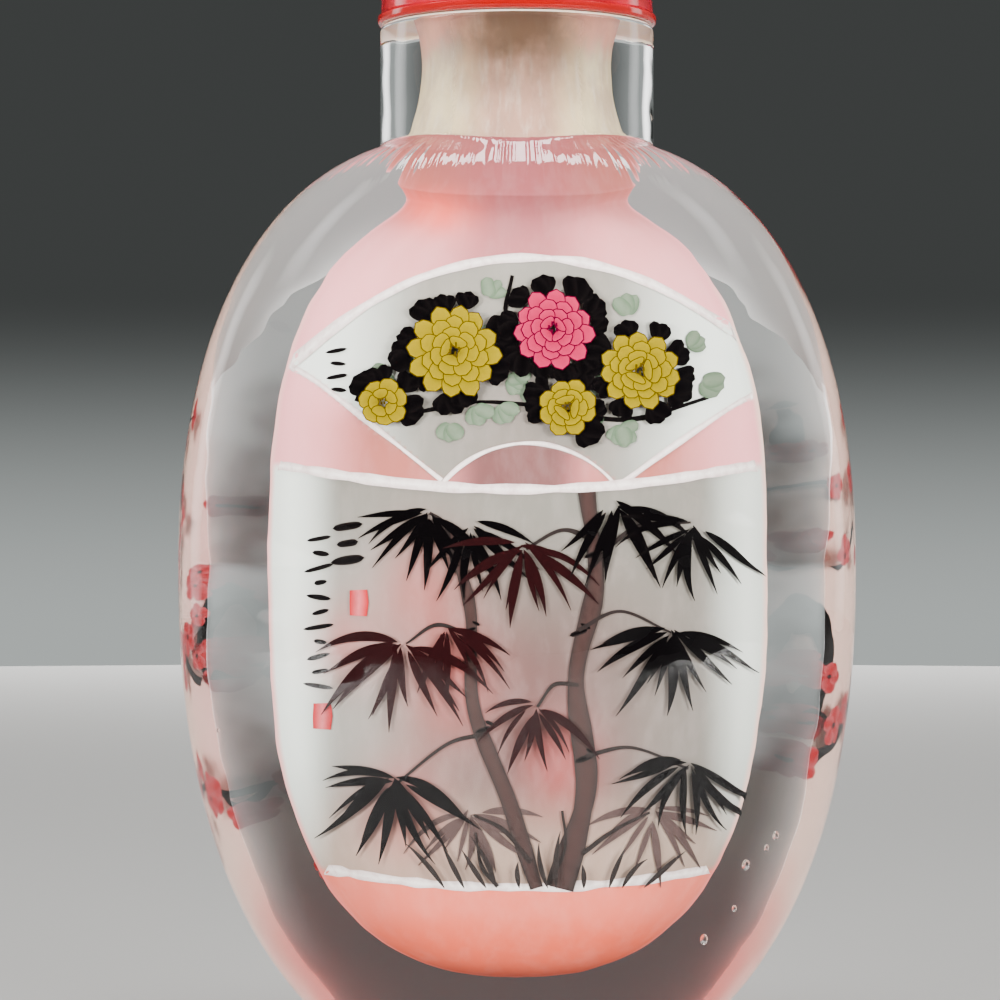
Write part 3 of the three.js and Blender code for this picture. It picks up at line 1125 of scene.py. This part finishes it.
def paint_tree(form, colours):
    """Slender trunks in thin ink with drooping sprays of pointed leaves, on the wide panel."""
    random = np.random.default_rng(37)
    brush = Brushwork(form, FRONT, FIRST_COAT + 0.02 * MM)
    thin = np.array(colours.ink_thin)
    ink = np.array(colours.ink)
    soft = blended(ink, thin, 0.45)
    pale = blended(thin, colours.panel_warm, 0.35)
    bark = blended(thin, colours.bark, 0.5)
    brown = blended(ink, colours.ink_red, 0.3)
    leaf_spray(brush, random, (-3.4, 20.2), -80, 200, 12, 4.4, pale, pale)
    leaf_spray(brush, random, (9.6, 20.4), -88, 200, 11, 4.3, pale, pale)
    trunks = (
        ([(3.0, 14.7), (4.9, 22.0), (4.2, 30.0), (5.6, 37.0), (5.0, 43.8)], 1.75, 1.25),
        ([(1.4, 14.7), (-0.6, 21.0), (-3.2, 28.0), (-3.4, 35.0), (-5.0, 41.0)], 1.3, 0.7),
    )
    for points, low, high in trunks:
        twig(brush, random, points, low, high, bark, edge=blended(thin, ink, 0.35))
    knots = ((4.8, 24.2, 0.9), (4.4, 33.4, 0.8), (-2.5, 26.3, 0.7), (5.4, 39.2, 0.7), (-3.5, 33.6, 0.6))
    for across, height, size in knots:
        leaf_dab(brush, random, (across, height), 0.35, size * 1.7, size * 0.55, ink, soft)
        leaf_dab(brush, random, (across + 0.5, height + 0.5), -0.5, size, size * 0.4, ink, soft)
    twigs = (
        [(5.2, 38.2), (8.4, 41.2), (12.4, 41.6)],
        [(5.3, 40.4), (3.2, 41.0), (0.6, 39.6)],
        [(-4.6, 38.4), (-5.2, 41.4), (-6.3, 42.3)],
        [(-3.4, 33.2), (-5.8, 34.0), (-8.0, 32.6)],
        [(4.4, 33.6), (7.4, 35.0), (11.0, 33.4)],
        [(-2.4, 26.0), (-5.2, 25.2), (-8.6, 22.4)],
        [(4.9, 24.4), (8.2, 25.0), (12.2, 23.4)],
        [(4.4, 29.6), (2.6, 29.6), (1.4, 28.0)],
        [(1.0, 16.6), (-1.0, 19.0), (-3.1, 20.1)],
        [(4.6, 17.2), (7.0, 19.0), (9.4, 20.2)],
        [(2.2, 15.0), (3.4, 17.6), (3.2, 20.4)],
        [(-1.4, 14.8), (-2.6, 16.4), (-3.0, 18.8)],
    )
    for points in twigs:
        twig(brush, random, points, 0.36, 0.18, soft)
    sprays = (
        ((-6.4, 42.4), -112, 175, 13, 4.7, ink),
        ((-3.4, 41.4), -66, 140, 10, 4.6, ink),
        ((0.4, 39.8), -96, 200, 13, 5.2, brown),
        ((7.0, 43.0), -74, 150, 11, 5.0, ink),
        ((12.6, 41.4), -106, 180, 12, 4.8, ink),
        ((-8.2, 32.7), -104, 190, 14, 5.3, brown),
        ((-5.0, 33.8), -70, 120, 9, 4.6, brown),
        ((11.2, 33.5), -96, 205, 14, 5.2, ink),
        ((1.2, 28.2), -104, 180, 10, 4.3, brown),
        ((-8.9, 22.8), -106, 215, 15, 5.4, ink),
        ((12.3, 23.9), -110, 180, 12, 4.8, ink),
    )
    for root, aim, spread, count, long, shade in sprays:
        leaf_spray(brush, random, root, aim, spread, count, long, shade, soft)
    for i in range(11):
        start = np.array([-5.5 + 1.45 * i + random.uniform(-0.5, 0.5), 14.7])
        angle = math.radians(95 - 7 * (i - 5) + random.uniform(-14, 14))
        long = random.uniform(2.2, 4.8)
        pointed_leaf(brush, start, angle, long, 0.34, 0.5, random.uniform(-0.12, 0.12), soft, thin)
    return brush.piece("front_tree")


def paint_marks(form, colours):
    """Rows of plain brush dashes and flat red patches where a painter's notes stand."""
    random = np.random.default_rng(5)
    brush = Brushwork(form, FRONT, FIRST_COAT + 0.01 * MM)
    ink = np.array(colours.ink)
    soft = blended(ink, colours.ink_thin, 0.3)
    # Columns of dashes: the first one's place, how many, steps down and aside, turns, lengths, width
    columns = (
        ((-14.2, 40.4), 11, (1.1, 0.12), (0.2, -0.15, 0.3), (1.7, 1.2, 2.1, 0.9), 0.36),
        ((-12.2, 41.3), 3, (1.25, 0.0), (0.16,), (2.1, 1.5, 2.4), 0.62),
        ((-12.9, 54.2), 4, (0.95, 0.1), (0.2, -0.1), (1.5, 1.1), 0.32),
    )
    for (across, top), count, (down, aside), turns, lengths, wide in columns:
        for row in range(count):
            middle = (across + aside * (row % 2), top - down * row)
            turn = turns[row % len(turns)]
            leaf_dab(brush, random, middle, turn, lengths[row % len(lengths)], wide, ink, soft)
    pale_red = blended(colours.red, colours.rose_pale, 0.35)
    for across, height in ((-11.4, 35.6), (-13.9, 27.2)):
        middle = np.array([across, height])
        path = [middle + (0, -0.95), middle + (0.05, 0), middle + (0, 0.95)]
        brush.stroke(path, [0.6, 0.68, 0.62], pale_red, edge=colours.red)
    return brush.piece("front_brush_marks")


def small_blossom(brush, random, middle, radius, fill, rim, dark):
    """Five-petalled blossom with a dark middle."""
    middle = np.asarray(middle, float)
    turn = random.uniform(0, math.pi)
    for i in range(5):
        aim = turn + 2 * math.pi * i / 5
        place = middle + heading(aim) * radius * 0.52
        leaf_dab(brush, random, place, aim, radius, radius * 0.92, fill, rim)
    leaf_dab(brush, random, middle, 0, radius * 0.3, radius * 0.3, dark, dark)


def paint_back(form, colours):
    """Plain spray of red blossom on dark branches, over the whole back."""
    random = np.random.default_rng(71)
    brush = Brushwork(form, BACK)
    soft = blended(colours.ink, colours.ink_thin, 0.1)
    rim = blended(colours.red, colours.rose_pale, 0.25)
    branches = (
        ([(-9.0, 14.5), (-12.6, 22.0), (-11.4, 31.0), (-13.6, 40.0), (-11.4, 50.0)], 1.3),
        ([(10.0, 15.0), (13.4, 24.0), (12.0, 33.0), (13.8, 42.0), (11.2, 53.0)], 1.2),
        ([(-12.4, 24.0), (-7.0, 28.5), (-1.0, 30.0), (4.0, 36.0), (5.0, 44.0)], 0.8),
        ([(12.2, 30.0), (7.5, 34.0), (6.4, 42.0), (1.0, 48.5), (-3.5, 52.0)], 0.7),
        ([(-13.0, 38.0), (-8.0, 42.0), (-5.0, 48.0)], 0.55),
        ([(13.2, 22.0), (8.0, 24.0), (3.0, 22.0)], 0.5),
    )
    for points, wide in branches:
        twig(brush, random, points, wide, wide * 0.3, soft)
        path = smooth_path(points, 9)
        for place in path[3::2]:
            side = random.normal(0, 1.4, 2)
            side[0] = np.clip(place[0] + side[0], -13.8, 13.8) - place[0]
            twig(brush, random, [place, place + side * 0.5, place + side], 0.3, 0.16, soft)
            small_blossom(brush, random, place + side, random.uniform(0.7, 1.3), colours.red, rim, soft)
    return brush.piece("back_blossom_spray")


def paint_ground(form, colours, sides, levels):
    """The washes on the wall of the hollow, from the root of the neck to its floor."""
    belly = form.sizes.belly_height
    bottom = form.sizes.floor_wall
    heights = np.linspace(PAINT_TOP * MM, form.cavity_top, levels // 8).tolist()
    heights += sine_levels(belly, form.cavity_top, levels // 2)[::-1][1:]
    heights += [belly] + sine_levels(belly, bottom, levels // 2)[:-1]
    rings = form_rings(lambda angle, height: form.cavity(angle, height) + WASH_LIFT, heights, sides)
    points = np.concatenate([*rings, [[0, 0, bottom - WASH_LIFT]]])
    faces = [face[::-1] for face in ring_faces(len(rings), sides)]
    faces += fan_faces(len(points) - 1 - sides, len(points) - 1, sides)
    piece = add_mesh("painted_ground", points, faces)
    across, deep, height = (points / MM).T
    back = back_wash(colours, across, height)
    front = front_wash(colours, across, height)
    # The two faces' colours run into each other at the hollow's sides
    overlap = 1.6
    lay_colours(piece.data, blended(back, front, soft_step(overlap, -overlap, deep)))
    return piece


def bottle_rings(form, sides):
    """Levels up the outside and over the rim, those down the bore and the hollow, and their finishes."""
    sizes = form.sizes
    belly = sizes.belly_height
    rim = sizes.rim_height - RIM_GAP
    neck_start = sizes.body_height + sizes.neck_fillet
    outside = sine_levels(belly, 0, 60)[::-1] + [belly] + sine_levels(belly, neck_start, 96)
    outside += list(np.linspace(neck_start, sizes.rim_height - sizes.rim_round, 9)[1:])
    corner = (sizes.neck_radius - sizes.rim_round, rim - sizes.rim_round)
    edge = oval_arc(corner, sizes.rim_round, sizes.rim_round, 0, math.pi / 2, 6)[1:]
    inside = np.linspace(rim, form.cavity_top, 34).tolist()
    inside += sine_levels(belly, form.cavity_top, 30)[::-1][1:]
    inside += [belly] + sine_levels(belly, sizes.floor_wall, 30)[:-1]
    upward = form_rings(form.outside, outside, sides) + round_rings(edge, sides)
    downward = form_rings(form.cavity, inside, sides)
    # Matt rows of faces: the upper three of the rounded edge, and the flat rim
    matt = 4
    slots = [POLISHED] * (len(upward) - matt) + [MATT_RIM] * matt + [GROUND] * (len(downward) - 1)
    return upward + downward, slots


class SNUFF_OT_bottle(bpy.types.Operator):
    """Makes the clear glass bottle with its ground hollow"""

    bl_idname = "snuff.bottle"
    bl_label = "Glass Bottle"

    def execute(self, context):
        sizes = context.scene.snuff_sizes
        colours = context.scene.snuff_colours
        rings, slots = bottle_rings(BottleForm(sizes), BOTTLE_SIDES)
        piece = closed_turning("bottle_glass", rings, BOTTLE_SIDES, slots)
        finish_piece(piece, "glass", polished_glass(sizes), ground_glass(colours), ground_rim(colours))
        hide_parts("bottle")
        return {"FINISHED"}


class SNUFF_OT_bubbles(bpy.types.Operator):
    """Makes the few small air bubbles in the glass"""

    bl_idname = "snuff.bubbles"
    bl_label = "Air Bubbles"

    def execute(self, context):
        # Across, deep, height and radius, in millimetres
        places = (
            (18.4, -4.4, 18.3, 0.26),
            (17.7, -4.6, 17.4, 0.2),
            (16.2, -4.9, 16.2, 0.3),
            (15.4, -5.0, 13.0, 0.2),
            (13.2, -5.2, 10.8, 0.3),
            (-21.2, -3.0, 26.0, 0.12),
        )
        points = []
        faces = []
        levels = 10
        stretch = 1.35
        flat_end = 0.12
        end = math.pi / 2 - flat_end
        for across, deep, height, radius in places:
            profile = oval_arc((0, height), radius, stretch * radius, -end, end, levels)
            first = BUBBLE_SIDES * levels * len(points)
            last = first + BUBBLE_SIDES * (levels - 1)
            faces += ring_faces(levels, BUBBLE_SIDES, first)
            faces.append(list(range(first, first + BUBBLE_SIDES))[::-1])
            faces.append(list(range(last, last + BUBBLE_SIDES)))
            points.append(np.concatenate(round_rings(profile, BUBBLE_SIDES)) + (across, deep, 0))
        piece = add_mesh("air_bubbles", np.concatenate(points) * MM, faces)
        material, tree, shader = new_material("bubble_air")
        make_glass(tree, shader, roughness=0.0, clear_share=1.0, tint=CLEAR, ior=1 / GLASS_IOR)
        finish_piece(piece, "glass", material)
        return {"FINISHED"}


class SNUFF_OT_ground(bpy.types.Operator):
    """Lays the washes of pink, white and cream on the wall of the hollow"""

    bl_idname = "snuff.ground"
    bl_label = "Painted Ground"

    def execute(self, context):
        colours = context.scene.snuff_colours
        form = BottleForm(context.scene.snuff_sizes)
        wash = paint("wash_paint", colours.wash_streak, 0.05, 700.0, 0.56, (1.0, 1.0, 0.4))
        piece = paint_ground(form, colours, PAINT_SIDES, PAINT_LEVELS)
        finish_piece(piece, "inside_paint", wash)
        return {"FINISHED"}


class SNUFF_OT_front_painting(bpy.types.Operator):
    """Paints the front: white lines, flowers on the fan, a tree and rows of marks"""

    bl_idname = "snuff.front_painting"
    bl_label = "Front Painting"

    def execute(self, context):
        form = BottleForm(context.scene.snuff_sizes)
        colours = context.scene.snuff_colours
        white = paint("line_paint", colours.rose, 0.3, 1500.0, 0.58)
        petals = paint("flower_paint", colours.ink, 0.12, 2400.0, 0.6)
        ink = paint("ink_paint", colours.ink, 0.25, 1800.0, 0.6, (1.0, 1.0, 0.5))
        finish_piece(paint_lines(form, colours), "inside_paint", white)
        finish_piece(paint_flowers(form, colours), "inside_paint", petals)
        finish_piece(paint_tree(form, colours), "inside_paint", ink)
        finish_piece(paint_marks(form, colours), "inside_paint", ink)
        return {"FINISHED"}


class SNUFF_OT_back_painting(bpy.types.Operator):
    """Paints the back: a spray of red blossom"""

    bl_idname = "snuff.back_painting"
    bl_label = "Back Painting"

    def execute(self, context):
        colours = context.scene.snuff_colours
        petals = paint("blossom_paint", colours.ink_thin, 0.15, 2200.0, 0.58)
        piece = paint_back(BottleForm(context.scene.snuff_sizes), colours)
        finish_piece(piece, "inside_paint", petals)
        return {"FINISHED"}


def cap_profile(sizes):
    """Radii and heights of the cap: its flat underside, the rounded flange and the dome."""
    foot = CAP_LOW.z
    flange_top = foot + sizes.flange_height
    dome_radius = sizes.cap_radius - sizes.flange_step
    low_round = 0.3 * MM
    top_round = 0.12 * MM
    low = (sizes.cap_radius - low_round, foot + low_round)
    top = (sizes.cap_radius - top_round, flange_top - top_round)
    profile = [(sizes.neck_radius * share, foot) for share in (0.2, 0.5, 0.8, 0.92)]
    profile += oval_arc(low, low_round, low_round, -math.pi / 2, 0, 6)
    profile += oval_arc(top, top_round, top_round, 0, math.pi / 2, 5)
    profile.append((dome_radius + 0.02 * MM, flange_top))
    rise = sizes.cap_top - flange_top
    return profile + oval_arc((0, flange_top), dome_radius, rise, 0.02, math.pi / 2 - 0.03, 46)


class SNUFF_OT_stopper(bpy.types.Operator):
    """Makes the red glass cap, and gives the cork its finish"""

    bl_idname = "snuff.stopper"
    bl_label = "Stopper"

    def execute(self, context):
        sizes = context.scene.snuff_sizes
        colours = context.scene.snuff_colours
        cap = closed_turning("stopper_cap_glass", round_rings(cap_profile(sizes), CAP_SIDES), CAP_SIDES)
        cap.data.vertices[-1].co.z = sizes.cap_top
        finish_piece(cap, "red_glass", red_glass(colours))
        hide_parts("stopper_cap")
        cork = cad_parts["stopper_cork"]
        cork.data.materials.clear()
        cork.data.materials.append(dry_cork(colours))
        return {"FINISHED"}


def fade_edges(light):
    """Lets a light fade out towards its edges, as a lamp behind thick cloth does."""
    light.use_nodes = True
    tree = light.node_tree
    place = parts_of(tree, tree.nodes.new("ShaderNodeNewGeometry").outputs["Parametric"])
    # The fading leaves four ninths of the light, and this makes up for it
    strength = 9 / 4
    for label in ("X", "Y"):
        across = place[label]
        other = maths(tree, "SUBTRACT", 1.0, across)
        share = maths(tree, "MULTIPLY", maths(tree, "MULTIPLY", across, other), 4.0)
        strength = maths(tree, "MULTIPLY", share, strength)
    feed(tree, tree.nodes["Emission"].inputs["Strength"], strength)


def soft_box(name, place, size, power, faded=False, mirrored=True, through=True):
    """Soft rectangular light that looks at the bottle; it may stay out of mirrorings and of the glass."""
    light = bpy.data.lights.new(name, "AREA")
    light.shape = "RECTANGLE"
    light.size, light.size_y = size
    light.energy = power
    if faded:
        fade_edges(light)
    lamp = bpy.data.objects.new(name, light)
    bpy.context.scene.collection.objects.link(lamp)
    lamp.location = place
    aim = Vector((0, 0, AIM_HEIGHT)) - Vector(place)
    lamp.rotation_euler = aim.to_track_quat("-Z", "Y").to_euler()
    lamp.visible_glossy = mirrored
    lamp.visible_transmission = mirrored and through


def studio_air():
    """World: dark behind the bottle, paler at the floor's edge and towards the sides."""
    world = bpy.data.worlds.new("studio_air")
    world.use_nodes = True
    tree = world.node_tree
    look = parts_of(tree, tree.nodes.new("ShaderNodeTexCoord").outputs["Generated"])
    # Pale walls at both sides, which darken upwards
    walls = ramp(tree, maths(tree, "ABSOLUTE", look["X"]), 0.4, 0.9, 0.0, 0.4)
    walls = maths(tree, "MULTIPLY", walls, ramp(tree, look["Z"], 0.1, 0.5, 1.0, 0.1))
    # Haze low behind the bottle, and none before it
    haze = ramp(tree, look["Z"], 0.06, -0.04, 0.0, 0.44)
    haze = maths(tree, "MULTIPLY", haze, ramp(tree, look["Y"], -0.2, 0.3))
    even = 0.055
    light = maths(tree, "ADD", maths(tree, "ADD", walls, even), haze)
    tint = tree.nodes.new("ShaderNodeVectorMath")
    tint.operation = "SCALE"
    tint.inputs[0].default_value = (0.93, 1.0, 0.98)
    feed(tree, tint.inputs["Scale"], light)
    feed(tree, tree.nodes["Background"].inputs["Color"], tint.outputs[0])
    return world


class SNUFF_OT_stage(bpy.types.Operator):
    """Makes the floor, the soft lights and the camera"""

    bl_idname = "snuff.stage"
    bl_label = "Stage"

    def execute(self, context):
        colours = context.scene.snuff_colours
        rings = round_rings(((0.1, 0.0), (0.3, 0.0), (FLOOR_RADIUS, 0.0)), FLOOR_SIDES)
        hub = len(rings) * FLOOR_SIDES
        faces = ring_faces(len(rings), FLOOR_SIDES) + fan_faces(0, hub, FLOOR_SIDES, over=True)
        floor = add_mesh("floor", np.concatenate([*rings, [[0, 0, 0]]]), faces, smooth=False)
        material, tree, shader = new_material("floor_card")
        card = streaked(tree, colours.floor, colours.floor, 0.1, 60.0)
        feed_all(tree, shader, Base_Color=card, Roughness=0.7)
        floor.data.materials.append(material)

        context.scene.world = studio_air()

        # Places and sizes in metres, and powers in watts
        soft_box("top_box", (0.0, -0.12, 0.5), (0.34, 0.12), 4.0, through=False)
        for name, side, power in (("left", -1, 0.36), ("right", 1, 0.27)):
            fill = (side * 0.3, -0.3, 0.08)
            soft_box(name + "_fill", fill, (0.2, 0.15), 4.3, mirrored=False)
            rim = (side * 0.42, 0.2, 0.14)
            soft_box(name + "_strip", rim, (0.16, 0.36), power, faded=True)
            shoulder = (side * 0.36, -0.1, 0.36)
            soft_box(name + "_glow", shoulder, (0.14, 0.3), power, faded=True, through=False)
        soft_box("back_fill", (0.0, 0.75, 0.2), (0.8, 0.3), 9.0, mirrored=False)

        camera = bpy.data.cameras.new("camera")
        viewer = bpy.data.objects.new("camera", camera)
        context.scene.collection.objects.link(viewer)
        viewer.location = (EYE_ACROSS, -EYE_DISTANCE, EYE_HEIGHT)
        viewer.rotation_euler = (math.pi / 2, 0, 0)
        camera.sensor_width = 36
        camera.lens = camera.sensor_width * EYE_DISTANCE / VIEW_WIDTH
        camera.clip_start = 0.01
        context.scene.camera = viewer
        return {"FINISHED"}


MAKERS = (
    SNUFF_OT_bottle,
    SNUFF_OT_bubbles,
    SNUFF_OT_ground,
    SNUFF_OT_front_painting,
    SNUFF_OT_back_painting,
    SNUFF_OT_stopper,
    SNUFF_OT_stage,
)


class SNUFF_PT_panel(bpy.types.Panel):
    """Lists the sizes, the colours and the makers of the pieces"""

    bl_idname = "SNUFF_PT_panel"
    bl_label = "Snuff Bottle"
    bl_space_type = "VIEW_3D"
    bl_region_type = "UI"
    bl_category = "Snuff Bottle"

    def draw(self, context):
        for maker in MAKERS:
            self.layout.operator(maker.bl_idname)
        for settings in (context.scene.snuff_sizes, context.scene.snuff_colours):
            column = self.layout.column()
            for name in settings.__annotations__:
                column.prop(settings, name)


CLASSES = (SnuffBottleSizes, SnuffBottleColours, *MAKERS, SNUFF_PT_panel)


def register():
    for kind in CLASSES:
        bpy.utils.register_class(kind)
    bpy.types.Scene.snuff_sizes = PointerProperty(type=SnuffBottleSizes)
    bpy.types.Scene.snuff_colours = PointerProperty(type=SnuffBottleColours)


def unregister():
    del bpy.types.Scene.snuff_colours
    del bpy.types.Scene.snuff_sizes
    for kind in reversed(CLASSES):
        bpy.utils.unregister_class(kind)


def main():
    register()
    bpy.ops.snuff.bottle()
    bpy.ops.snuff.bubbles()
    bpy.ops.snuff.ground()
    bpy.ops.snuff.front_painting()
    bpy.ops.snuff.back_painting()
    bpy.ops.snuff.stopper()
    bpy.ops.snuff.stage()


if __name__ == "__main__":
    main()
